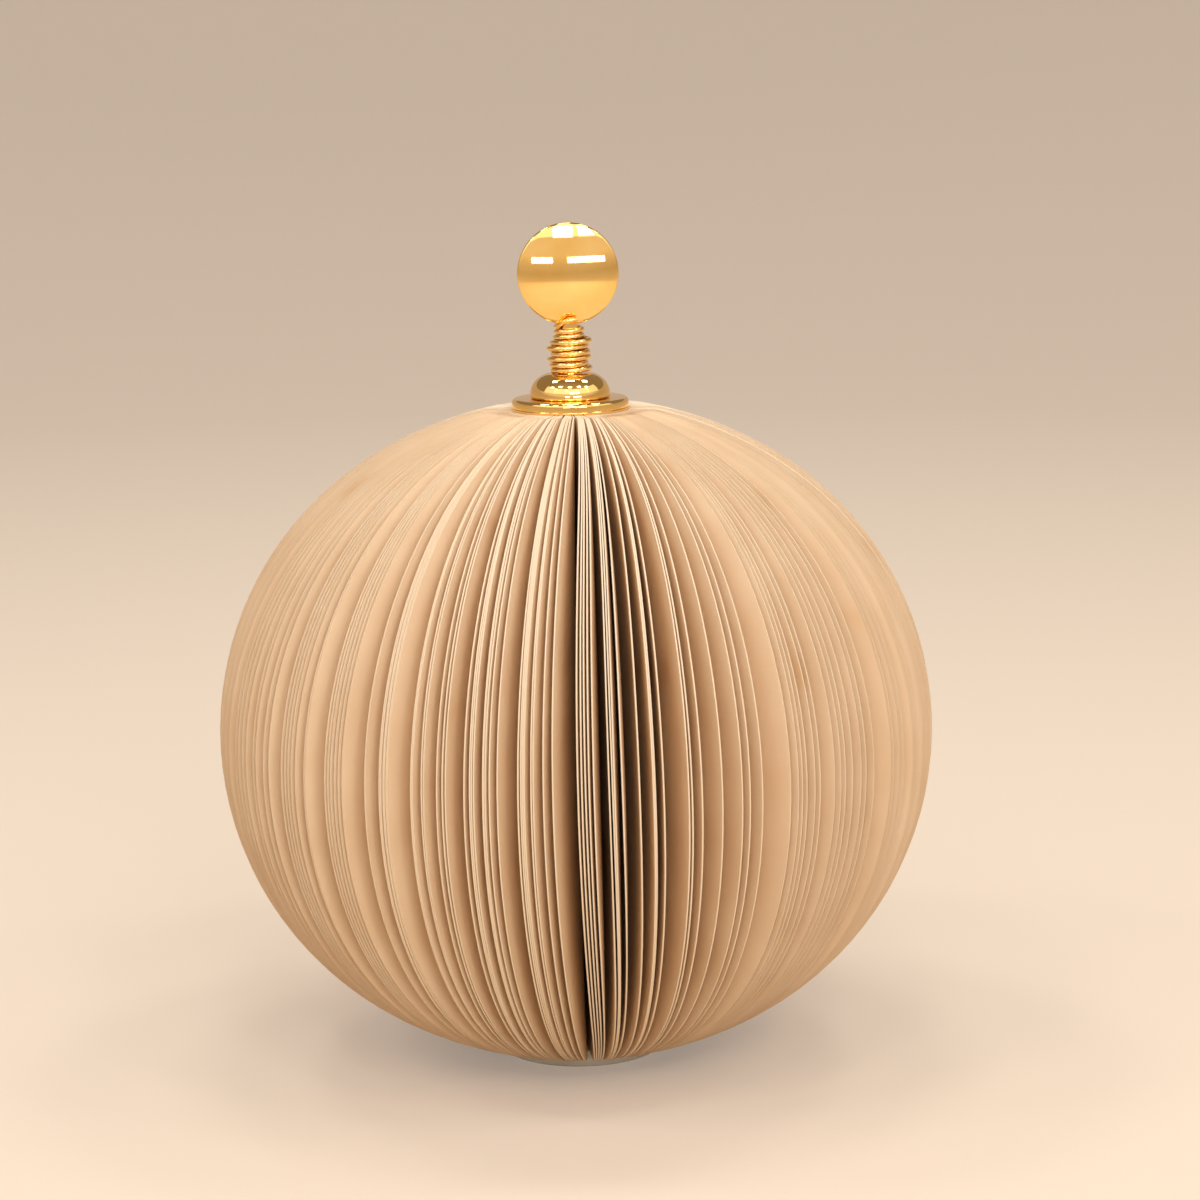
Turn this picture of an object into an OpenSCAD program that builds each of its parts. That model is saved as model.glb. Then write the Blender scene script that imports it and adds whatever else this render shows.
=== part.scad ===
// Paper ball decoration: half-oval card leaves stand round a hollow core like the pages of an
// opened book, on a frosted foot, under a gold finial with a wire-wound stem and a standing disc.
// The origin is the middle of the foot's underside, +Z is up, and the widest front gap faces -Y.

/* [Paper ball] */
// Widest diameter of the ball of leaves
ball_d = 210; // [180:1:240]
// Height of the untrimmed oval that the leaves follow, pole to pole
oval_h = 195; // [190:0.5:205]
// Radius of the oval's outer arc, round the widest part
side_arc_r = 94.5; // [86:0.5:94.5]
// How much of the oval is cut off flat under the finial
top_trim = 2.9; // [1:0.1:4]
// How much of the oval is cut off flat over the foot
bottom_trim = 5.1; // [2:0.1:6]
// Thickness of one card leaf
leaf_t = 0.4; // [0.3:0.05:0.5]
// Angle between two leaves that cling as tightly as they can
leaf_pitch = 0.3; // [0.26:0.01:0.4]
// Radial depth over which the leaves are glued into a spine
glue_depth = 2; // [1:0.5:5]
// Turn of the first leaf right of the widest front gap, about the axis
fan_turn = 0.2; // [-180:0.1:180]

/* [Core] */
// Outside diameter of the card tube that the spine is wrapped round
core_d = 28; // [24:0.5:30]
// Wall of the card tube
core_wall = 2; // [1:0.25:3]
// Diameter of the rod that ties foot and finial together
rod_d = 5; // [4:0.5:6]
// Diameter of the rod's countersunk head
rod_head_d = 10; // [8:0.5:12]
// How far the rod's head lies above the foot's underside
head_recess = 0.3; // [0.2:0.1:1]
// Running clearance round the rod
rod_clearance = 0.1; // [0.05:0.05:0.3]

/* [Foot] */
// Diameter of the frosted foot disc
foot_d = 49.6; // [44:0.2:56]
// Thickness of the foot disc
foot_t = 5; // [4:0.5:8]
// Bevel round the foot's two edges
foot_bevel = 0.4; // [0.2:0.1:0.8]

/* [Finial base] */
// Diameter of the flange plate on top of the leaves
flange_d = 34.5; // [31:0.5:40]
// Height of the flange plate
flange_h = 3.4; // [2.5:0.1:5]
// Radius of the flange's rounded upper edge
flange_round = 1.2; // [0.5:0.1:1.5]
// Height of the thin lip under the flange
lip_h = 0.8; // [0.4:0.1:1.2]
// How far the lip stands out past the flange's wall
lip_out = 0.2; // [0.1:0.1:0.6]
// Widest diameter of the domed collar
dome_d = 23.5; // [20:0.5:26]
// Height of the domed collar
dome_h = 7.2; // [5:0.1:8]
// Radius of the rounding under the collar's widest part
dome_undercut = 0.7; // [0.3:0.1:1]

/* [Stem] */
// Outside diameter of the wound wire
coil_d = 12.2; // [11:0.1:13]
// Outside diameter of the two narrow turns under the disc
neck_d = 9; // [8.4:0.1:9.6]
// Wire diameter
wire_d = 1.56; // [1.2:0.02:1.58]
// Rise of one turn of wire
coil_pitch = 1.6; // [1.59:0.01:1.8]
// Turns of wire, the narrow ones too
coil_turns = 8.3; // [6.3:1:10.3]
// Azimuth of the wire's lower end, from +X to the back
coil_start = 200; // [180:5:220]
// Diameter of the turned post inside the wire
post_d = 7.4; // [6.6:0.1:7.6]
// How far a turn wanders sideways, as wire wound by hand does
wander = 0.6; // [0:0.1:0.6]
// How far the wire's end is bent up in front of the disc
end_lift = 1.6; // [0:0.1:2]

/* [Finial disc] */
// Diameter of the standing disc
disc_d = 29.5; // [26:0.1:34]
// Radius of the disc's two domed faces
disc_face_r = 55; // [40:1:80]
// Width of the straight part of the disc's rim
disc_rim = 0.7; // [0.6:0.1:1.2]
// Radius of the rounding between rim and faces
disc_round = 0.7; // [0.5:0.1:1.2]
// Depth of the slot in the post's nose that takes the disc's rim
disc_seat = 0.8; // [0.5:0.1:1.2]
// Turn of the disc about the axis, to the right as seen from the front
disc_turn = 5; // [0:1:30]

/* [Hidden] */
round_fn = 96;
over = 1;
seat_clearance = 0.1;
turn_steps = 20;
wire_sides = 8;
neck_turns = 2.3;
draw_turns = 0.5;
unevenness = 0.15;

// Levels from the table upwards
leaves_z0 = foot_t;
oval_z = leaves_z0 - bottom_trim + oval_h / 2;
leaves_z1 = oval_z + oval_h / 2 - top_trim;
flange_z1 = leaves_z1 + flange_h;
dome_z1 = flange_z1 + dome_h;
coil_z0 = dome_z1 + wire_d / 2;
draw_start = coil_turns - neck_turns - draw_turns;
neck_z = coil_z0 + coil_pitch * draw_start - wire_d / 2;

// The disc's rim stands on the wire where the last turn passes under one of its sides
coil_end = coil_start + 360 * coil_turns;
neck_r = (neck_d - wire_d) / 2;
past_rim = asin(disc_rim / 2 / neck_r);
rest_turn = coil_turns
    - min((coil_end - disc_turn) % 360, (coil_end - disc_turn + 180) % 360) / 360 + past_rim / 360;
rest_r = disc_d / 2 + wire_d / 2 + seat_clearance;
disc_z = coil_z0 + coil_pitch * rest_turn + sqrt(pow(rest_r, 2) - pow(neck_r * cos(past_rim), 2));
beside_disc = (disc_rim / 2 + disc_round + wire_d / 2 + seat_clearance) / neck_r;
post_z1 = disc_z - disc_d / 2 + disc_seat;
rod_z1 = neck_z - wire_d;
head_z1 = head_recess + (rod_head_d - rod_d) / 2;

// Four-centre oval: the side arc runs smoothly into a flatter arc over each pole. The level of
// the join is rounded, so that both arcs' halves end at exactly the same one.
side_x = ball_d / 2 - side_arc_r;
pole_arc_r = (side_arc_r * side_arc_r - side_x * side_x - oval_h * oval_h / 4) / (2 * side_arc_r - oval_h);
pole_drop = pole_arc_r - oval_h / 2;
join_z = round(100 * side_arc_r * pole_drop / (pole_arc_r - side_arc_r)) / 100;

// The fan's rhythm from the front gap to the right, over half of the ball: how many leaves cling
// together, how loosely, and the angle of the gap behind them. The other half repeats it.
rhythm = [
    [5, 2, 2.2], [3, 1.3, 1.3], [1, 1, 2.4], [1, 1, 1.9], [2, 1, 1.1], [1, 1, 3.9], [2, 1.7, 1.6], [1, 1, 3.3],
    [1, 1, 3.4], [1, 1, 1.2], [1, 1, 2.2], [1, 1, 4.9], [1, 1, 1.5], [3, 2.7, 1.5], [2, 3.3, 2.9], [3, 4, 1.6],
    [1, 1, 2.1], [2, 4, 2.1], [1, 1, 5.2], [2, 3.3, 2], [2, 6, 3.8], [3, 3, 3.1], [4, 2, 2.4], [2, 3.7, 3.4],
    [5, 1.3, 2.9], [1, 1, 4.4], [3, 2.3, 2.6], [2, 1.3, 3.8], [4, 1.7, 1.9], [2, 3, 4.1], [3, 2, 2.7], [2, 2.7, 4],
    [4, 5.3, 2.7], [2, 3.3, 2.5], [2, 5.7, 3.6], [4, 2.7, 1.1], [1, 1, 2.2], [2, 1, 4.4], [3, 2, 0.7],
    [3, 2.7, 4.3], [1, 1, 2.5], [6, 1, 3.7], [2, 1, 1.4], [2, 1, 2], [1, 1, 1], [2, 1.3, 2.6], [1, 1, 0.8],
    [3, 1.3, 1.3], [3, 1, 0.6], [1, 1, 1.2], [1, 1, 2.9], [1, 1, 0.6], [3, 1, 1], [2, 1, 1.5], [1, 1, 1.1], [1, 1, 3.6]
];
groups = concat(rhythm, rhythm);
function sum(list, i = 0) = i < len(list) ? list[i] + sum(list, i + 1) : 0;
function spread(g) = (g[0] - 1) * g[1] * leaf_pitch;
gap_scale = (360 - sum([for (g = groups) spread(g)])) / sum([for (g = groups) g[2]]);
function group_start(k) = k == 0 ? fan_turn
    : group_start(k - 1) + spread(groups[k - 1]) + groups[k - 1][2] * gap_scale;
function shuffle(i) = (sin(137.5 * i) + sin(61.7 * i)) / 2;
function place(k, j) = j == 0 || j == groups[k][0] - 1 ? j : j + unevenness * shuffle(7 * k + j);
azimuths = [for (k = [0 : len(groups) - 1]) let (start = group_start(k))
    for (j = [0 : groups[k][0] - 1]) start + place(k, j) * groups[k][1] * leaf_pitch];

// Unit vector that points outwards at an azimuth, from the front to the right
function outward(a) = [sin(a), -cos(a)];

// Half of the oval's outline, trimmed flat at both ends
module oval_half() {
    intersection() {
        union() {
            intersection() {
                translate([side_x, oval_z]) circle(r = side_arc_r, $fn = 4 * round_fn);
                translate([0, oval_z - join_z]) square([ball_d, 2 * join_z]);
            }
            for (side = [-1, 1])
                intersection() {
                    translate([0, oval_z - side * pole_drop]) circle(r = pole_arc_r, $fn = 4 * round_fn);
                    translate([0, side > 0 ? oval_z + join_z : oval_z - join_z - oval_h])
                        square([ball_d, oval_h]);
                }
        }
        translate([core_d / 2, leaves_z0]) square([ball_d, leaves_z1 - leaves_z0]);
    }
}

// Plan of the air between two neighbouring leaves, which narrows to where their faces meet
module leaf_gap(a, b) {
    meet = leaf_t / 2 / sin((b - a) / 2);
    start = max(0, core_d / 2 + glue_depth - meet);
    tip = meet * outward((a + b) / 2);
    inner = start > 0 ? [tip + start * outward(b), tip + start * outward(a)] : [tip];
    polygon(concat([tip + ball_d * outward(a), tip + ball_d * outward(b)], inner));
}

module paper_leaves() {
    color("wheat") difference() {
        rotate_extrude($fn = 4 * round_fn) oval_half();
        translate([0, 0, leaves_z0 - over]) linear_extrude(leaves_z1 - leaves_z0 + 2 * over)
            for (i = [0 : len(azimuths) - 1])
                leaf_gap(azimuths[i], i + 1 < len(azimuths) ? azimuths[i + 1] : azimuths[0] + 360);
    }
}

module core_tube() {
    color("tan") translate([0, 0, leaves_z0]) difference() {
        cylinder(h = leaves_z1 - leaves_z0, d = core_d, $fn = round_fn);
        translate([0, 0, -over])
            cylinder(h = leaves_z1 - leaves_z0 + 2 * over, d = core_d - 2 * core_wall, $fn = round_fn);
    }
}

// Rod with a countersunk head, which runs from the foot up into the post
module tie_rod() {
    color("silver") rotate_extrude($fn = round_fn)
        polygon([[0, head_recess], [rod_head_d / 2, head_recess], [rod_d / 2, head_z1],
                 [rod_d / 2, rod_z1], [0, rod_z1]]);
}

// Upright hole that the rod passes through, from one level to another
module rod_hole(z0, z1) {
    translate([0, 0, z0]) cylinder(h = z1 - z0, d = rod_d + 2 * rod_clearance, $fn = round_fn);
}

module foot_disc() {
    bevelled = [[0, 0], [foot_d / 2 - foot_bevel, 0], [foot_d / 2, foot_bevel],
                [foot_d / 2, foot_t - foot_bevel], [foot_d / 2 - foot_bevel, foot_t], [0, foot_t]];
    sink_r = rod_head_d / 2 + rod_clearance;
    color("honeydew") difference() {
        rotate_extrude($fn = 2 * round_fn) polygon(bevelled);
        rotate_extrude($fn = round_fn)
            polygon([[0, -over], [sink_r, -over], [sink_r, head_recess],
                     [rod_d / 2 + rod_clearance, head_z1], [0, head_z1]]);
        rod_hole(head_recess, foot_t + over);
    }
}

module flange_plate() {
    wall_r = flange_d / 2 - lip_out;
    color("gold") translate([0, 0, leaves_z1]) difference() {
        rotate_extrude($fn = 2 * round_fn) {
            square([flange_d / 2, lip_h]);
            square([wall_r, flange_h - flange_round]);
            square([wall_r - flange_round, flange_h]);
            translate([wall_r - flange_round, flange_h - flange_round]) circle(r = flange_round, $fn = round_fn);
        }
        rod_hole(-over, flange_h + over);
    }
}

// Collar whose dome stands on a small rounding, so that a dark line shows under it
module dome_collar() {
    dome_r = dome_h - dome_undercut;
    color("gold") translate([0, 0, flange_z1]) difference() {
        rotate_extrude($fn = 2 * round_fn) {
            square([dome_d / 2 - dome_undercut, dome_undercut]);
            translate([dome_d / 2 - dome_undercut, dome_undercut]) circle(r = dome_undercut, $fn = round_fn);
            translate([0, dome_undercut]) square([dome_d / 2 - dome_r, dome_r]);
            translate([0, dome_undercut]) intersection() {
                translate([dome_d / 2 - dome_r, 0]) circle(r = dome_r, $fn = round_fn);
                square([dome_d / 2, dome_h]);
            }
        }
        rod_hole(-over, dome_h + over);
    }
}

// Turned post that screws down on the rod, with a narrow nose slotted for the disc's rim
module stem_post() {
    nose_r = neck_r - wire_d / 2 - seat_clearance;
    color("gold") difference() {
        union() {
            translate([0, 0, dome_z1]) cylinder(h = neck_z - dome_z1, d = post_d, $fn = round_fn);
            translate([0, 0, dome_z1]) cylinder(h = post_z1 - dome_z1, r = nose_r, $fn = round_fn);
        }
        rod_hole(dome_z1 - over, rod_z1 + rod_clearance);
        disc_shape(seat_clearance / 2);
    }
}

// Disc between two slightly domed faces, whose rounded rim runs smoothly into them, grown by a clearance
module disc_shape(grow = 0) {
    edge_r = disc_d / 2 - disc_round;
    face_drop = sqrt(pow(disc_face_r - disc_round, 2) - edge_r * edge_r) - disc_rim / 2;
    joint_r = edge_r * disc_face_r / (disc_face_r - disc_round);
    translate([0, 0, disc_z]) rotate([0, 0, disc_turn]) rotate([90, 0, 0])
        rotate_extrude($fn = 2 * round_fn) {
            intersection() {
                translate([0, -face_drop]) circle(r = disc_face_r + grow, $fn = 4 * round_fn);
                translate([0, face_drop]) circle(r = disc_face_r + grow, $fn = 4 * round_fn);
                translate([0, -disc_d / 2]) square([joint_r, disc_d]);
            }
            for (side = [-1, 1])
                translate([edge_r, side * disc_rim / 2]) circle(r = disc_round + grow, $fn = round_fn);
            translate([0, -disc_rim / 2]) square([disc_d / 2 + grow, disc_rim]);
        }
}

module finial_disc() {
    color("gold") disc_shape();
}

// Middle line of the wire at a number of turns from its lower end. It wanders a little from
// turn to turn, draws in to the two narrow turns under the disc, and ends in front of the disc.
function drawn_in(t) = min(1, max(0, (t - draw_start) / draw_turns));
function turn_r(t) = (coil_d - wire_d) / 2 - (coil_d - neck_d) / 2 * drawn_in(t);
function stray(t, phase) = wander * sin(150 * t + phase) * (1 - drawn_in(t));
function turn_angle(t) = coil_start + 360 * t;
function lift(t) = t < rest_turn ? 0
    : end_lift * max(0, (-sin(turn_angle(t) - disc_turn) - beside_disc) / (1 - beside_disc));
function wire_at(t) = [turn_r(t) * cos(turn_angle(t)) + stray(t, 20),
                       turn_r(t) * sin(turn_angle(t)) + stray(t, 110), coil_z0 + coil_pitch * t + lift(t)];
module wire_coil() {
    rings = round(coil_turns * turn_steps);
    points = [for (i = [0 : rings]) let (t = i / turn_steps, c = wire_at(t), a = turn_angle(t))
        for (k = [0 : wire_sides - 1]) let (b = 360 * k / wire_sides)
            c + wire_d / 2 * [cos(a) * cos(b), sin(a) * cos(b), sin(b)]];
    sides = [for (i = [0 : rings - 1]) for (k = [0 : wire_sides - 1]) let (n = (k + 1) % wire_sides)
        [i * wire_sides + k, i * wire_sides + n, (i + 1) * wire_sides + n, (i + 1) * wire_sides + k]];
    ends = [[for (k = [wire_sides - 1 : -1 : 0]) k], [for (k = [0 : wire_sides - 1]) rings * wire_sides + k]];
    color("gold") polyhedron(points, concat(sides, ends), convexity = 10);
}

paper_leaves();
core_tube();
tie_rod();
foot_disc();
flange_plate();
dome_collar();
stem_post();
wire_coil();
finial_disc();
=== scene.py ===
# %% [markdown]
# # A ball of card leaves under a gold finial
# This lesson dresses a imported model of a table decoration: a couple of hundred half-oval card
# leaves stand round an upright core, like a book opened until its covers meet. A flange, a domed
# collar, a wire-wound stem and a standing disc, all gold, stand on top, and a low frosted
# foot carries the whole. The frame gives every place; here we make what the eye sees.

# %% Load the frame
import math

import bmesh
import bpy
from mathutils import Euler, Matrix, Vector


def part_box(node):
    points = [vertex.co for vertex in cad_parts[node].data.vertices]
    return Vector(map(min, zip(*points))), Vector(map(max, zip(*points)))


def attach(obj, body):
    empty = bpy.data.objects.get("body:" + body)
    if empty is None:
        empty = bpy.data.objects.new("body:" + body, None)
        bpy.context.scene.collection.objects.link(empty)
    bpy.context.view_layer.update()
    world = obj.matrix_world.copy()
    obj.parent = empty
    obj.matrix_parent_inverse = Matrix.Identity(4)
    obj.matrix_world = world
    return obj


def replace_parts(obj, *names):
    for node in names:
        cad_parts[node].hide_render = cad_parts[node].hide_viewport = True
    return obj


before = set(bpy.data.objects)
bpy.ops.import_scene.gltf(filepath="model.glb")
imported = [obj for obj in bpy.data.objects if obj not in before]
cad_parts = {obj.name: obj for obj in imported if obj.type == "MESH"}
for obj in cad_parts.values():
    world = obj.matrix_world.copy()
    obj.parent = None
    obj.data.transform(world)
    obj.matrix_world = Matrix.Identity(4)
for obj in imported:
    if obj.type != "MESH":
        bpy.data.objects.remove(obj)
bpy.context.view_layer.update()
MM = 0.001
scene = bpy.context.scene

# %% [markdown]
# ## Camera
# The ball is seen from a little above its middle, from nine tenths of a metre, through a long
# lens. The real ball leans about one degree to the left. The model stands straight, so that it
# rests on its foot, and the camera rolls by that degree instead.

# %% Place the camera
CAMERA_PLACE = Vector((0.00765, -0.900, 0.2983))
LOOK_DOWN = math.radians(10.27)
ROLL = math.radians(-1.0)
LENS_MM = 93.1
SENSOR_MM = 36


def add_camera():
    data = bpy.data.cameras.new("camera")
    data.sensor_width = SENSOR_MM
    data.lens = LENS_MM
    camera = bpy.data.objects.new("camera", data)
    aim = Euler((math.pi / 2 - LOOK_DOWN, 0, 0)).to_matrix().to_4x4()
    camera.matrix_world = Matrix.Translation(CAMERA_PLACE) @ aim @ Matrix.Rotation(ROLL, 4, "Z")
    scene.collection.objects.link(camera)
    scene.camera = camera


add_camera()
print("camera in mm:", [round(x / MM, 1) for x in CAMERA_PLACE])

# %% [markdown]
# ## Studio
# A photographer would stand the ball on a sheet of pale paper that sweeps up behind it. The
# sweep goes all the way round here, so that every side view has it too: one disc, whose rim is
# extruded step by step along a quarter circle. Most light comes from walls of light over and
# beside the camera, because the narrow gaps between leaves only light up from straight ahead, and
# weaker walls stand behind. Small panes give polished metal something sharp to mirror, and what
# it mirrors is brightest in front, as in a studio whose windows are behind the camera.

# %% Floor and backdrop
SWEEP_FLAT = 1.6
SWEEP_BEND = 1.2
SWEEP_STEPS = 12
SWEEP_SIDES = 96
FLOOR_COLOUR = (0.70, 0.56, 0.42)
LIFT_COLOUR = (0.80, 0.73, 0.65)
BACKDROP_LIFT = 0.30
FRONT_WALL_LIFT = 0.80
FORWARD_AND_UP = (0, -1, 3)
FRONT_WALL_REACH = (2.3, 4.3)


def feed(tree, value, socket):
    """Gives a socket a plain value, or the output of another node."""
    if hasattr(value, "is_output"):
        tree.links.new(value, socket)
    else:
        socket.default_value = value


def math_node(tree, operation, first, second):
    node = tree.nodes.new("ShaderNodeMath")
    node.operation = operation
    feed(tree, first, node.inputs[0])
    feed(tree, second, node.inputs[1])
    return node.outputs[0]


def value_range(tree, value, low, high, reach=(0, 1)):
    """Low where the value is at the start of its reach, and high where it is at the end."""
    spread = tree.nodes.new("ShaderNodeMapRange")
    labels = ("Value", "From Min", "From Max", "To Min", "To Max")
    for label, end in zip(labels, (value, *reach, low, high)):
        feed(tree, end, spread.inputs[label])
    return spread.outputs["Result"]


def backdrop_material():
    """Pale paper that the camera, metal and glass see a little lighter than it lights the ball."""
    paper = bpy.data.materials.new("pale_paper")
    paper.use_nodes = True
    tree = paper.node_tree
    shader = tree.nodes["Principled BSDF"]
    shader.inputs["Base Color"].default_value = (*FLOOR_COLOUR, 1)
    shader.inputs["Roughness"].default_value = 0.8
    shader.inputs["Emission Color"].default_value = (*LIFT_COLOUR, 1)
    rays = tree.nodes.new("ShaderNodeLightPath").outputs
    place = tree.nodes.new("ShaderNodeTexCoord").outputs["Object"]
    forward = tree.nodes.new("ShaderNodeVectorMath")
    forward.operation = "DOT_PRODUCT"
    feed(tree, place, forward.inputs[0])
    feed(tree, FORWARD_AND_UP, forward.inputs[1])
    wall = value_range(tree, forward.outputs["Value"], BACKDROP_LIFT, FRONT_WALL_LIFT, FRONT_WALL_REACH)
    mirrored = math_node(tree, "MULTIPLY", rays["Is Glossy Ray"], wall)
    seen = math_node(tree, "MAXIMUM", rays["Is Camera Ray"], rays["Is Transmission Ray"])
    plain = math_node(tree, "MULTIPLY", seen, BACKDROP_LIFT)
    tree.links.new(math_node(tree, "ADD", mirrored, plain), shader.inputs["Emission Strength"])
    paper.cycles.emission_sampling = "NONE"
    return paper


def add_sweep():
    bm = bmesh.new()
    bmesh.ops.create_circle(bm, cap_ends=True, radius=SWEEP_FLAT, segments=SWEEP_SIDES)
    rim = [e for e in bm.edges if e.is_boundary]
    for step in range(1, SWEEP_STEPS + 1):
        turn = math.pi / 2 * step / SWEEP_STEPS
        made = bmesh.ops.extrude_edge_only(bm, edges=rim)["geom"]
        rim = [g for g in made if isinstance(g, bmesh.types.BMEdge) and g.is_boundary]
        reach = SWEEP_FLAT + SWEEP_BEND * math.sin(turn)
        rise = Vector((0, 0, SWEEP_BEND * (1 - math.cos(turn))))
        for v in {v for e in rim for v in e.verts}:
            v.co = v.co.xy.normalized().to_3d() * reach + rise
    mesh = bpy.data.meshes.new("sweep")
    bm.to_mesh(mesh)
    bm.free()
    mesh.shade_smooth()
    sweep = bpy.data.objects.new("sweep", mesh)
    sweep.data.materials.append(backdrop_material())
    scene.collection.objects.link(sweep)
    print("sweep faces:", len(mesh.polygons))


scene.view_settings.view_transform = "Standard"
add_sweep()

# %% Soft boxes, panes and sky
LAMP_AIM = Vector((0, 0, 0.12))


def add_soft_box(name, azimuth, elevation, distance, size, watts, mirrored=True):
    """A lamp that looks at the ball; azimuth runs from the front to the right, in degrees."""
    side, up = math.radians(azimuth), math.radians(elevation)
    data = bpy.data.lights.new(name, "AREA")
    data.shape = "RECTANGLE"
    data.size, data.size_y = size
    data.energy = watts
    lamp = bpy.data.objects.new(name, data)
    direction = Vector((math.sin(side) * math.cos(up), -math.cos(side) * math.cos(up), math.sin(up)))
    lamp.location = LAMP_AIM + distance * direction
    lamp.rotation_euler = (LAMP_AIM - lamp.location).to_track_quat("-Z", "Y").to_euler()
    lamp.visible_glossy = mirrored
    scene.collection.objects.link(lamp)


def add_sky(colour, strength, mirrored_front, mirrored_back):
    """Even light from all round, which metal mirrors as a studio that is brightest in front."""
    world = bpy.data.worlds.new("sky")
    world.use_nodes = True
    tree = world.node_tree
    background = tree.nodes["Background"]
    background.inputs["Color"].default_value = (*colour, 1)
    sight = tree.nodes.new("ShaderNodeTexCoord").outputs["Generated"]
    direction = tree.nodes.new("ShaderNodeSeparateXYZ")
    feed(tree, sight, direction.inputs["Vector"])
    mirrored = value_range(tree, direction.outputs["Y"], mirrored_front, mirrored_back, (-1, 0))
    glossy = tree.nodes.new("ShaderNodeLightPath").outputs["Is Glossy Ray"]
    tree.links.new(value_range(tree, glossy, strength, mirrored), background.inputs["Strength"])
    world.cycles.sampling_method = "NONE"
    scene.world = world


# Walls of light, as azimuth and watts. Metal doesn't mirror those behind the ball.
WALL_ELEVATION = 35
WALL_DISTANCE = 2.0
WALL_SIZE = (1.2, 0.9)
FRONT_WALLS = ((-66, 3.0), (-30, 3.4), (6, 3.5), (42, 3.3), (78, 2.9))
BACK_WALLS = ((132, 2.3), (186, 2.4), (240, 2.3))
# Panes, as name, azimuth, elevation, distance, size and watts
PANES = [
    ("window_left", 6.5, 28, 1.5, (0.31, 0.26), 2.2),
    ("window_right", 22.5, 28, 1.5, (0.26, 0.23), 1.6),
    ("strip_left", -7, 9, 1.5, (0.34, 0.09), 0.9),
    ("strip_right", 21, 9, 1.5, (0.62, 0.09), 1.6),
    ("ceiling_1", -115, 65, 1.33, (0.28, 0.20), 1.9),
    ("ceiling_2", 180, 83, 1.21, (0.28, 0.20), 1.9),
    ("ceiling_3", 115, 65, 1.33, (0.28, 0.20), 1.9),
    ("ceiling_4", -68, 47, 1.63, (0.20, 0.15), 1.1),
    ("ceiling_5", -41, 57, 1.44, (0.20, 0.15), 1.1),
    ("ceiling_6", 0, 58, 1.41, (0.20, 0.15), 1.1),
    ("ceiling_7", 39, 57, 1.42, (0.20, 0.15), 1.1),
    ("ceiling_8", 66, 49, 1.59, (0.20, 0.15), 1.1),
]
for walls, mirrored in ((FRONT_WALLS, True), (BACK_WALLS, False)):
    for turn, watts in walls:
        add_soft_box(f"wall_{turn}", turn, WALL_ELEVATION, WALL_DISTANCE, WALL_SIZE, watts, mirrored)
for pane in PANES:
    add_soft_box(*pane)
add_sky(colour=(1.0, 0.80, 0.60), strength=0.20, mirrored_front=0.65, mirrored_back=0.28)
print("lamps:", len(FRONT_WALLS) + len(BACK_WALLS) + len(PANES))

# %% [markdown]
# ## Shared surface effects
# Card and board both show pressed fibres, and every metal piece shows faint polishing marks.
# Each effect is a node group with its own inputs, so that each material sets its own scale.

# %% Node groups for fibre and polish


def new_group(name, inputs, outputs):
    group = bpy.data.node_groups.new(name, "ShaderNodeTree")
    for label, kind in inputs:
        group.interface.new_socket(label, in_out="INPUT", socket_type=kind)
    for label, kind in outputs:
        group.interface.new_socket(label, in_out="OUTPUT", socket_type=kind)
    return group, group.nodes.new("NodeGroupInput"), group.nodes.new("NodeGroupOutput")


def noise_node(tree, vector, scale, detail, stretch=None):
    noise = tree.nodes.new("ShaderNodeTexNoise")
    noise.inputs["Detail"].default_value = detail
    feed(tree, scale, noise.inputs["Scale"])
    if stretch:
        mapping = tree.nodes.new("ShaderNodeMapping")
        mapping.inputs["Scale"].default_value = stretch
        tree.links.new(vector, mapping.inputs["Vector"])
        vector = mapping.outputs["Vector"]
    tree.links.new(vector, noise.inputs["Vector"])
    return noise.outputs["Fac"]


def fibre_group():
    group, source, target = new_group(
        "card_fibre",
        [
            ("Vector", "NodeSocketVector"),
            ("Fibre Scale", "NodeSocketFloat"),
            ("Mottle Scale", "NodeSocketFloat"),
        ],
        [("Height", "NodeSocketFloat"), ("Mottle", "NodeSocketFloat")],
    )
    vector = source.outputs["Vector"]
    fibre_scale = source.outputs["Fibre Scale"]
    fine = noise_node(group, vector, fibre_scale, detail=1)
    strands = noise_node(group, vector, fibre_scale, detail=0, stretch=(0.35, 0.35, 1.6))
    mottle = noise_node(group, vector, source.outputs["Mottle Scale"], detail=1)
    group.links.new(math_node(group, "ADD", fine, strands), target.inputs["Height"])
    group.links.new(mottle, target.inputs["Mottle"])
    return group


def polish_group():
    group, source, target = new_group(
        "polish_marks",
        [("Vector", "NodeSocketVector"), ("Mark Scale", "NodeSocketFloat")],
        [("Height", "NodeSocketFloat"), ("Haze", "NodeSocketFloat")],
    )
    vector = source.outputs["Vector"]
    marks = noise_node(group, vector, source.outputs["Mark Scale"], detail=5, stretch=(6.0, 0.5, 1.0))
    ripple = noise_node(group, vector, scale=60.0, detail=1)
    haze = noise_node(group, vector, scale=140.0, detail=4)
    soft = math_node(group, "MULTIPLY", ripple, 3.0)
    group.links.new(math_node(group, "ADD", marks, soft), target.inputs["Height"])
    group.links.new(haze, target.inputs["Haze"])
    return group


card_fibre = fibre_group()
polish_marks = polish_group()
print("node groups:", card_fibre.name, polish_marks.name)
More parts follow.
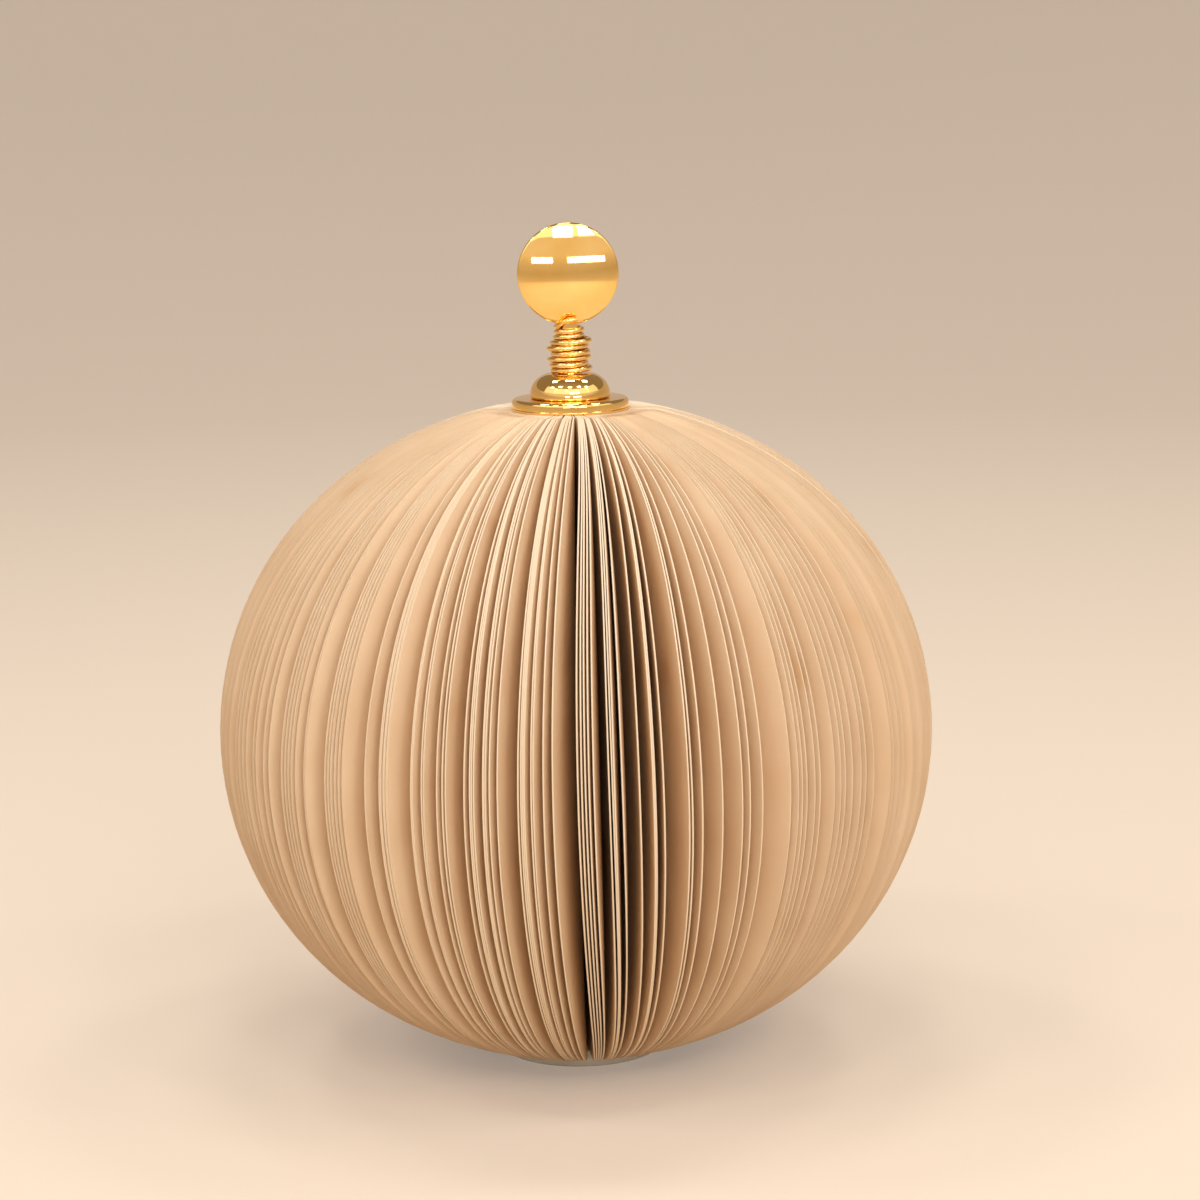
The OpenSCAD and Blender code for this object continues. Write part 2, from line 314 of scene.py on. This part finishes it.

# %% [markdown]
# ## Materials
# The card is uncoated and cream, with a tooth that only shows close up. A tone that each face
# carries moves it along its colour ramp: paler on the cut edges, and browner towards the spine,
# which is a painted shade for the deep gaps between the leaves. The gold is polished brass: its
# colour comes from the metal itself, and its depth from what it reflects, so its roughness is low
# and only faintly uneven. The foot is frosted glass, which lets little light through.

# %% Finishes
# The card's ramp: painted shade deep between the leaves, on the faces, and last on the cut edges
CARD_TONES_AND_GAP_SHADE = (
    (0.0, (0.76, 0.48, 0.24)),
    (0.2, (0.86, 0.63, 0.40)),
    (0.9, (0.93, 0.72, 0.49)),
    (1.0, (0.90, 0.72, 0.51)),
)


def start_material(name, roughness):
    material = bpy.data.materials.new(name)
    material.use_nodes = True
    tree = material.node_tree
    shader = tree.nodes["Principled BSDF"]
    shader.inputs["Roughness"].default_value = roughness
    place = tree.nodes.new("ShaderNodeTexCoord").outputs["Object"]
    return material, tree, shader, place


def add_group(tree, group, vector, **values):
    node = tree.nodes.new("ShaderNodeGroup")
    node.node_tree = group
    tree.links.new(vector, node.inputs["Vector"])
    for label, value in values.items():
        node.inputs[label.replace("_", " ").title()].default_value = value
    return node


def colour_ramp(tree, factor, *stops):
    ramp = tree.nodes.new("ShaderNodeValToRGB")
    elements = ramp.color_ramp.elements
    while len(elements) < len(stops):
        elements.new(0.5)
    for element, (position, colour) in zip(elements, stops):
        element.position = position
        element.color = (*colour, 1)
    tree.links.new(factor, ramp.inputs["Fac"])
    return ramp.outputs["Color"]


def add_bump(tree, shader, height, strength, distance):
    bump = tree.nodes.new("ShaderNodeBump")
    bump.inputs["Strength"].default_value = strength
    bump.inputs["Distance"].default_value = distance
    tree.links.new(height, bump.inputs["Height"])
    tree.links.new(bump.outputs["Normal"], shader.inputs["Normal"])


def card_material():
    material, tree, shader, place = start_material("cream_card", roughness=0.82)
    fibre = add_group(tree, card_fibre, place, fibre_scale=1400.0, mottle_scale=55.0)
    # The tone attribute also carries painted shade, browner towards the spine
    tone = tree.nodes.new("ShaderNodeAttribute")
    tone.attribute_name = "leaf_tone_and_shade"
    shade = math_node(tree, "ADD", fibre.outputs["Mottle"], tone.outputs["Fac"])
    tree.links.new(colour_ramp(tree, shade, *CARD_TONES_AND_GAP_SHADE), shader.inputs["Base Color"])
    shader.inputs["Specular IOR Level"].default_value = 0.2
    add_bump(tree, shader, fibre.outputs["Height"], strength=0.25, distance=0.05 * MM)
    return material


def board_material():
    material, tree, shader, place = start_material("core_board", roughness=0.9)
    fibre = add_group(tree, card_fibre, place, fibre_scale=700.0, mottle_scale=120.0)
    colour = colour_ramp(
        tree, fibre.outputs["Mottle"], (0.3, (0.30, 0.20, 0.11)), (0.7, (0.42, 0.29, 0.17))
    )
    tree.links.new(colour, shader.inputs["Base Color"])
    add_bump(tree, shader, fibre.outputs["Height"], strength=0.4, distance=0.1 * MM)
    return material


def metal_material(name, dark, light, roughness, mark_scale):
    material, tree, shader, place = start_material(name, roughness[0])
    shader.inputs["Metallic"].default_value = 1
    marks = add_group(tree, polish_marks, place, mark_scale=mark_scale)
    colour = colour_ramp(tree, marks.outputs["Haze"], (0.3, dark), (0.7, light))
    tree.links.new(colour, shader.inputs["Base Color"])
    tree.links.new(value_range(tree, marks.outputs["Haze"], *roughness), shader.inputs["Roughness"])
    add_bump(tree, shader, marks.outputs["Height"], strength=0.05, distance=0.02 * MM)
    return material


def frosted_material():
    material, tree, shader, place = start_material("frosted_glass", roughness=0.55)
    cloud = noise_node(tree, place, scale=90.0, detail=3)
    grain = noise_node(tree, place, scale=2500.0, detail=2)
    colour = colour_ramp(tree, cloud, (0.3, (0.84, 0.78, 0.63)), (0.7, (0.90, 0.84, 0.70)))
    tree.links.new(colour, shader.inputs["Base Color"])
    shader.inputs["Transmission Weight"].default_value = 0.2
    shader.inputs["IOR"].default_value = 1.5
    add_bump(tree, shader, grain, strength=0.35, distance=0.05 * MM)
    return material


cream_card = card_material()
core_board = board_material()
polished_gold = metal_material("polished_gold", (0.95, 0.60, 0.18), (1.0, 0.67, 0.25), (0.02, 0.05), 900.0)
wire_gold = metal_material("wire_gold", (0.95, 0.60, 0.20), (1.0, 0.70, 0.30), (0.08, 0.14), 1500.0)
turned_steel = metal_material("turned_steel", (0.50, 0.50, 0.51), (0.62, 0.62, 0.64), (0.25, 0.40), 1200.0)
frosted_glass = frosted_material()
finishes = (cream_card, core_board, polished_gold, wire_gold, turned_steel, frosted_glass)
print("finishes:", [finish.name for finish in finishes])

# %% [markdown]
# ## Where each leaf stands
# Loose leaves never stand evenly: a few cling together, and then comes a wider gap. The list
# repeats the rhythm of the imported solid, from the front gap to the right, and runs twice, once
# for each half of the ball. Each entry is a number of leaves, how loosely they cling, and the
# angle of the gap behind them. At the spine the leaves are pressed tight, so there the steps
# between neighbours are evened out, and each leaf bends towards its group further out. On both
# sides the leaves also lean away from the two seams, where the rhythm starts, as the covers of
# an opened book do. Those just left of the front seam swing a little further, so that they show
# a face there instead of a dark gap.

# %% The fan's rhythm
# Angles in degrees
LEAF_THICKNESS = 0.4 * MM
CLING_ANGLE = 0.3
UNEVENNESS = 0.15
SHUFFLE_TURNS = (137.5, 61.7)
FIRST_LEAF = 0.2
RHYTHM = [
    (5, 2, 2.2), (3, 1.3, 1.3), (1, 1, 2.4), (1, 1, 1.9), (2, 1, 1.1), (1, 1, 3.9), (2, 1.7, 1.6),
    (1, 1, 3.3), (1, 1, 3.4), (1, 1, 1.2), (1, 1, 2.2), (1, 1, 4.9), (1, 1, 1.5), (3, 2.7, 1.5),
    (2, 3.3, 2.9), (3, 4, 1.6), (1, 1, 2.1), (2, 4, 2.1), (1, 1, 5.2), (2, 3.3, 2), (2, 6, 3.8),
    (3, 3, 3.1), (4, 2, 2.4), (2, 3.7, 3.4), (5, 1.3, 2.9), (1, 1, 4.4), (3, 2.3, 2.6), (2, 1.3, 3.8),
    (4, 1.7, 1.9), (2, 3, 4.1), (3, 2, 2.7), (2, 2.7, 4), (4, 5.3, 2.7), (2, 3.3, 2.5), (2, 5.7, 3.6),
    (4, 2.7, 1.1), (1, 1, 2.2), (2, 1, 4.4), (3, 2, 0.7), (3, 2.7, 4.3), (1, 1, 2.5), (6, 1, 3.7),
    (2, 1, 1.4), (2, 1, 2), (1, 1, 1), (2, 1.3, 2.6), (1, 1, 0.8), (3, 1.3, 1.3), (3, 1, 0.6),
    (1, 1, 1.2), (1, 1, 2.9), (1, 1, 0.6), (3, 1, 1), (2, 1, 1.5), (1, 1, 1.1), (1, 1, 3.6),
]


def shuffled(i):
    """A number between -1 and 1 that looks random but is the same on each run."""
    return sum(math.sin(math.radians(turn * i)) for turn in SHUFFLE_TURNS) / 2


def leaf_azimuths():
    groups = RHYTHM * 2
    spreads = [(count - 1) * loose * CLING_ANGLE for count, loose, gap in groups]
    gap_scale = (360 - sum(spreads)) / sum(gap for count, loose, gap in groups)
    azimuths, start = [], FIRST_LEAF
    for k, (count, loose, gap) in enumerate(groups):
        for j in range(count):
            place = j + (UNEVENNESS * shuffled(7 * k + j) if 0 < j < count - 1 else 0)
            azimuths.append(start + place * loose * CLING_ANGLE)
        start += spreads[k] + gap * gap_scale
    return azimuths


AZIMUTHS = leaf_azimuths()
LEAVES = len(AZIMUTHS)
HALF = LEAVES // 2
NEIGHBOURS = 14
LEAN = 6
SWING = 4
SWING_AZIMUTH = -5
SWING_REACH = 7
print("leaves:", LEAVES, "seam in degrees:", round(AZIMUTHS[HALF] - AZIMUTHS[HALF - 1], 2))


def spine_azimuths():
    spines = []
    for own in (AZIMUTHS[:HALF], AZIMUTHS[HALF:]):
        steps = []
        for j in range(HALF - 1):
            near = own[max(0, j - NEIGHBOURS):j + NEIGHBOURS + 1]
            steps.append((near[-1] - near[0]) / (len(near) - 1))
        scale = (own[-1] - own[0]) / sum(steps)
        places = [own[0] + scale * sum(steps[:j]) for j in range(HALF)]
        for place in places:
            sideways = math.sin(math.radians(2 * place))
            from_swing = (place + 180) % 360 - 180 - SWING_AZIMUTH
            swing = SWING * math.exp(-((from_swing / SWING_REACH) ** 2))
            spines.append(place + swing - LEAN * sideways * abs(sideways))
    return spines


SPINES = spine_azimuths()

# %% [markdown]
# ## One leaf
# A leaf is half of an oval, cut flat where the flange and the foot press on it. The oval is a
# four-centre one, as a draughtsman draws it with compasses: a side arc that runs into a flatter
# arc over each pole. `bmesh.ops.create_grid` gives the sheet, whose rows are then laid
# between the core and the oval, and `solidify` gives the card its thickness. On its way out a
# leaf bends: near the front it bows, everywhere it drifts in slow waves with its neighbours, and
# it strays a little by itself.

# %% Oval and leaf
leaves_low, leaves_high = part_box("paper_leaves")
BALL_R = leaves_high.x
CORE_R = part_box("core_tube")[1].x
LEAF_FOOT, LEAF_TOP = leaves_low.z, leaves_high.z
OVAL_H = 195 * MM
SIDE_ARC = 94.5 * MM
TOP_TRIM = 2.9 * MM
OVAL_MID = LEAF_TOP + TOP_TRIM - OVAL_H / 2
SIDE_X = BALL_R - SIDE_ARC
POLE_ARC = (SIDE_ARC**2 - SIDE_X**2 - OVAL_H**2 / 4) / (2 * SIDE_ARC - OVAL_H)
POLE_DROP = POLE_ARC - OVAL_H / 2
JOIN_Z = SIDE_ARC * POLE_DROP / (POLE_ARC - SIDE_ARC)
HEIGHT_CELLS = 44
DEPTH_CELLS = 9
print("arcs of the oval in mm:", round(SIDE_ARC / MM, 1), round(POLE_ARC / MM, 1))


def oval_radius(z):
    rise = abs(z - OVAL_MID)
    if rise < JOIN_Z:
        return SIDE_X + math.sqrt(SIDE_ARC**2 - rise**2)
    return math.sqrt(max(0, POLE_ARC**2 - (rise + POLE_DROP) ** 2))


def edge_point(up):
    """Radius and height on the leaf's outer edge, at a share of the way up."""
    low = math.asin((LEAF_FOOT - OVAL_MID) / (OVAL_H / 2))
    high = math.asin((LEAF_TOP - OVAL_MID) / (OVAL_H / 2))
    z = OVAL_MID + OVAL_H / 2 * math.sin(low + (high - low) * up)
    return oval_radius(z), z


SPREAD_POWER = 3
BOW = 17
BOW_LEVEL = 0.53
BOW_AZIMUTH = 7
BOW_REACH = 20
DRIFT = 0.14
DRIFT_WAVES = ((5, 4.2), (11, -2.6))
OWN_DRIFT = 0.14


def leaf_turn(i, across, edge_r, up):
    """Azimuth in degrees of leaf i: even deep inside, drawn to its group near the outer edge."""
    free = (1 - CORE_R / edge_r) / (1 - CORE_R / BALL_R)
    drawn = max(0, free) * across**SPREAD_POWER
    own, spine = AZIMUTHS[i], SPINES[i]
    from_front = (own + 180) % 360 - 180 - BOW_AZIMUTH
    bow = BOW * (up - BOW_LEVEL) ** 2 * math.exp(-((from_front / BOW_REACH) ** 2))
    drift = sum(DRIFT * math.sin(math.radians(turns * own) + climb * up) for turns, climb in DRIFT_WAVES)
    alone = OWN_DRIFT * shuffled(3 * i + 1) * math.sin(math.pi * up + 2 * shuffled(i))
    return spine + (own - spine) * drawn + (drift + alone) * drawn * across + bow * across


def add_leaf(bm, i):
    sheet = bmesh.ops.create_grid(bm, x_segments=DEPTH_CELLS, y_segments=HEIGHT_CELLS, size=0.5)["verts"]
    half = LEAF_THICKNESS / 2
    for v in sheet:
        across, up = v.co.x + 0.5, v.co.y + 0.5
        edge_r, edge_z = edge_point(up)
        spine_z = LEAF_FOOT + (LEAF_TOP - LEAF_FOOT) * up
        radius, z = CORE_R + (edge_r - CORE_R) * across, spine_z + (edge_z - spine_z) * across
        turn = math.radians(leaf_turn(i, across, edge_r, up))
        v.co = (
            radius * math.sin(turn) + half * math.cos(turn),
            half * math.sin(turn) - radius * math.cos(turn),
            z,
        )


# %% [markdown]
# ## The ball in quires
# One mesh with all the leaves would be too heavy to handle, so the ball is bound from quires,
# each with an equal run of leaves. Every leaf keeps a tone of its own in a face attribute, since
# sheets of one batch still differ a little. The tone falls towards the spine as a painted shade
# for the gaps between the leaves, and is set once more on the cut edges, which `solidify` makes
# as wide as the card is thick.

# %% Bind the quires
QUIRES = 4
OWN_TONE = 0.12
# Painted shade: how far the tone falls towards the spine, for the shade in the gaps
PAINTED_GAP_SHADE = 0.6
CUT_EDGE_TONE = 0.8
CUT_EDGE_WIDTH = 1.1 * LEAF_THICKNESS


def finish_piece(name, bm, material, crease_angle=40):
    mesh = bpy.data.meshes.new(name)
    bm.to_mesh(mesh)
    bm.free()
    mesh.shade_smooth()
    mesh.set_sharp_from_angle(angle=math.radians(crease_angle))
    piece = bpy.data.objects.new(name, mesh)
    piece.data.materials.append(material)
    scene.collection.objects.link(piece)
    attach(piece, "root")
    print(name, "triangles:", sum(len(p.vertices) - 2 for p in mesh.polygons))
    return piece


def add_quire(number):
    bm = bmesh.new()
    tone = bm.faces.layers.float.new("leaf_tone_and_shade")
    first, last = LEAVES * number // QUIRES, LEAVES * (number + 1) // QUIRES
    for i in range(first, last):
        before = set(bm.faces)
        add_leaf(bm, i)
        for face in bm.faces:
            if face not in before:
                face[tone] = OWN_TONE * shuffled(5 * i + 2)
    # Painted shade: faces deeper towards the spine move to the browner end of the ramp
    for face in bm.faces:
        middle = face.calc_center_median()
        depth = 1 - (middle.xy.length - CORE_R) / (oval_radius(middle.z) - CORE_R)
        face[tone] -= PAINTED_GAP_SHADE * min(1, max(0, depth))
    bmesh.ops.recalc_face_normals(bm, faces=bm.faces)
    bmesh.ops.solidify(bm, geom=bm.faces[:], thickness=LEAF_THICKNESS)
    for face in bm.faces:
        if min(e.calc_length() for e in face.edges) < CUT_EDGE_WIDTH:
            face[tone] = CUT_EDGE_TONE
    return finish_piece(f"leaf_quire_{number + 1}", bm, cream_card)


for number in range(QUIRES):
    quire = add_quire(number)
    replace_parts(quire, "paper_leaves")

# %% [markdown]
# ## Turned gold pieces
# Flange, collar and disc came off a lathe, so each is an outline spun about an axis with
# `bmesh.ops.spin`. A polisher softens the flange's edges, so these are bevelled afterwards; on
# the collar and the disc the outline itself has arcs.

# %% Flange and collar
TURN_STEPS = 160
SAME_PLACE = 1e-6
WELD_REACH = 1e-7


def spin_outline(outline):
    """A closed solid from (radius, height) points that start and end on the axis."""
    bm = bmesh.new()
    verts = [bm.verts.new((radius, 0, height)) for radius, height in outline]
    edges = [bm.edges.new(pair) for pair in zip(verts, verts[1:])]
    bmesh.ops.spin(
        bm, geom=verts + edges, cent=(0, 0, 0), axis=(0, 0, 1), angle=2 * math.pi, steps=TURN_STEPS,
        use_merge=True,
    )
    bmesh.ops.remove_doubles(bm, verts=bm.verts, dist=WELD_REACH)
    bmesh.ops.recalc_face_normals(bm, faces=bm.faces)
    return bm


def bevel_ring(bm, radius, height, width, segments=5):
    """Softens the round edge at a radius and a height."""
    def on_ring(v):
        return abs(v.co.xy.length - radius) < SAME_PLACE and abs(v.co.z - height) < SAME_PLACE

    ring = [e for e in bm.edges if all(on_ring(v) for v in e.verts)]
    bmesh.ops.bevel(
        bm, geom=ring, offset=width, offset_type="OFFSET", affect="EDGES", segments=segments,
        profile=0.5, material=-1,
    )


def arc(centre, radius, start, end, steps):
    """Points on an arc between two angles in degrees."""
    turns = [math.radians(start + (end - start) * k / steps) for k in range(steps + 1)]
    return [(centre[0] + radius * math.cos(t), centre[1] + radius * math.sin(t)) for t in turns]


flange_low, flange_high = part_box("flange_plate")
FLANGE_R = flange_high.x
LIP_H = 0.8 * MM
LIP_OUT = 0.2 * MM
FLANGE_ROUND = 1.2 * MM


def add_flange():
    wall = FLANGE_R - LIP_OUT
    bm = spin_outline([
        (0, flange_low.z), (FLANGE_R, flange_low.z), (FLANGE_R, flange_low.z + LIP_H),
        (wall, flange_low.z + LIP_H), (wall, flange_high.z), (0, flange_high.z),
    ])
    bevel_ring(bm, wall, flange_high.z, FLANGE_ROUND, segments=10)
    bevel_ring(bm, FLANGE_R, flange_low.z + LIP_H, LIP_H / 3)
    bevel_ring(bm, FLANGE_R, flange_low.z, LIP_H / 3)
    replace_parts(finish_piece("flange", bm, polished_gold), "flange_plate")


dome_low, dome_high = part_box("dome_collar")
DOME_UNDERCUT = 0.7 * MM


def add_dome():
    level = dome_low.z + DOME_UNDERCUT
    dome_r = dome_high.z - level
    foot = arc((dome_high.x - DOME_UNDERCUT, level), DOME_UNDERCUT, -90, 0, 6)
    dome = arc((dome_high.x - dome_r, level), dome_r, 0, 90, 24)
    bm = spin_outline([(0, dome_low.z), *foot, *dome[1:], (0, dome_high.z)])
    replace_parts(finish_piece("dome", bm, polished_gold), "dome_collar")


add_flange()
add_dome()

# %% [markdown]
# ## The standing disc
# The disc is a thick coin with two slightly domed faces, which mirror the whole studio, and a
# rounded rim. It is spun lying flat about its own middle, then set upright and turned a little,
# all in the mesh, so that the object itself stays at the origin.

# %% Finial disc
disc_low, disc_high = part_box("finial_disc")
DISC_R = (disc_high.z - disc_low.z) / 2
DISC_FACE_R = 55 * MM
DISC_RIM = 0.7 * MM
DISC_ROUND = 0.7 * MM
DISC_TURN = math.radians(5)


def add_disc():
    edge_r = DISC_R - DISC_ROUND
    face_drop = math.sqrt((DISC_FACE_R - DISC_ROUND) ** 2 - edge_r**2) - DISC_RIM / 2
    slope = math.degrees(math.asin(edge_r / (DISC_FACE_R - DISC_ROUND)))
    outline = [
        *arc((0, face_drop), DISC_FACE_R, -90, -90 + slope, 20),
        *arc((edge_r, -DISC_RIM / 2), DISC_ROUND, -90 + slope, 0, 8)[1:],
        *arc((edge_r, DISC_RIM / 2), DISC_ROUND, 0, 90 - slope, 8),
        *arc((0, -face_drop), DISC_FACE_R, 90 - slope, 90, 20)[1:],
    ]
    bm = spin_outline(outline)
    upright = Matrix.Rotation(DISC_TURN, 4, "Z") @ Matrix.Rotation(math.pi / 2, 4, "X")
    middle = Matrix.Translation((0, 0, (disc_low.z + disc_high.z) / 2))
    bmesh.ops.transform(bm, matrix=middle @ upright, verts=bm.verts)
    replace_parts(finish_piece("standing_disc", bm, polished_gold), "finial_disc")


add_disc()

# %% [markdown]
# ## The wound wire
# Gold wire is wound by hand round the stem. Its turns wander a little, the last two are drawn in
# under the disc, and its end is bent up in front of the disc. `bmesh.ops.spin` with a rise per
# step gives an even helix, whose rings are then shifted turn by turn.

# %% Wire coil
coil_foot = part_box("wire_coil")[0].z
WIRE_D = 1.56 * MM
COIL_D = 12.2 * MM
NECK_D = 9 * MM
COIL_PITCH = 1.6 * MM
COIL_TURNS = 8.3
COIL_START = math.radians(200)
NECK_TURNS = 2.3
DRAW_TURNS = 0.5
WANDER = 0.6 * MM
WANDER_PER_TURN = 150
WANDER_START = 20
LIFTED_TURNS = 0.4
END_LIFT = 1.6 * MM
SEAT_CLEARANCE = 0.1 * MM
BESIDE_DISC = (DISC_RIM / 2 + DISC_ROUND + WIRE_D / 2 + SEAT_CLEARANCE) / ((NECK_D - WIRE_D) / 2)
WIRE_SIDES = 16
STEPS_PER_TURN = 48


def ring_shift(turn):
    drawn_in = min(1, max(0, (turn - (COIL_TURNS - NECK_TURNS - DRAW_TURNS)) / DRAW_TURNS))
    angle = COIL_START + 2 * math.pi * turn
    inward = -(COIL_D - NECK_D) / 2 * drawn_in
    stray = WANDER * (1 - drawn_in)
    wander = WANDER_PER_TURN * turn + WANDER_START
    lift = 0
    if COIL_TURNS - turn < LIFTED_TURNS:
        lift = max(0, -math.sin(angle - DISC_TURN) - BESIDE_DISC) / (1 - BESIDE_DISC)
    return Vector((
        inward * math.cos(angle) + stray * math.sin(math.radians(wander)),
        inward * math.sin(angle) + stray * math.sin(math.radians(wander + 90)),
        END_LIFT * lift,
    ))


def add_wire():
    bm = bmesh.new()
    middle_r = (COIL_D - WIRE_D) / 2
    upright = Matrix.Rotation(math.pi / 2, 4, "X")
    place = Matrix.Translation((middle_r, 0, coil_foot + WIRE_D / 2))
    start = Matrix.Rotation(COIL_START, 4, "Z")
    ring = bmesh.ops.create_circle(
        bm, cap_ends=False, radius=WIRE_D / 2, segments=WIRE_SIDES, matrix=start @ place @ upright
    )["verts"]
    steps = round(COIL_TURNS * STEPS_PER_TURN)
    bmesh.ops.spin(
        bm, geom=ring + bm.edges[:], cent=(0, 0, 0), axis=(0, 0, 1), use_merge=False, steps=steps,
        dvec=(0, 0, COIL_PITCH / STEPS_PER_TURN), angle=2 * math.pi * COIL_TURNS,
    )
    bm.verts.index_update()
    for v in bm.verts:
        v.co += ring_shift(v.index // WIRE_SIDES / STEPS_PER_TURN)
    bmesh.ops.holes_fill(bm, edges=[e for e in bm.edges if e.is_boundary], sides=0)
    bmesh.ops.recalc_face_normals(bm, faces=bm.faces)
    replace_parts(finish_piece("wound_wire", bm, wire_gold, crease_angle=50), "wire_coil")


add_wire()

# %% [markdown]
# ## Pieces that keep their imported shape
# The foot, the post inside the wire, the rod and the card tube are right as they come, and only
# need their finish.

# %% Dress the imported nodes
for node, material in (
    ("foot_disc", frosted_glass), ("stem_post", polished_gold), ("tie_rod", turned_steel),
    ("core_tube", core_board),
):
    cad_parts[node].data.materials.clear()
    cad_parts[node].data.materials.append(material)
    print(node, "wears", material.name)
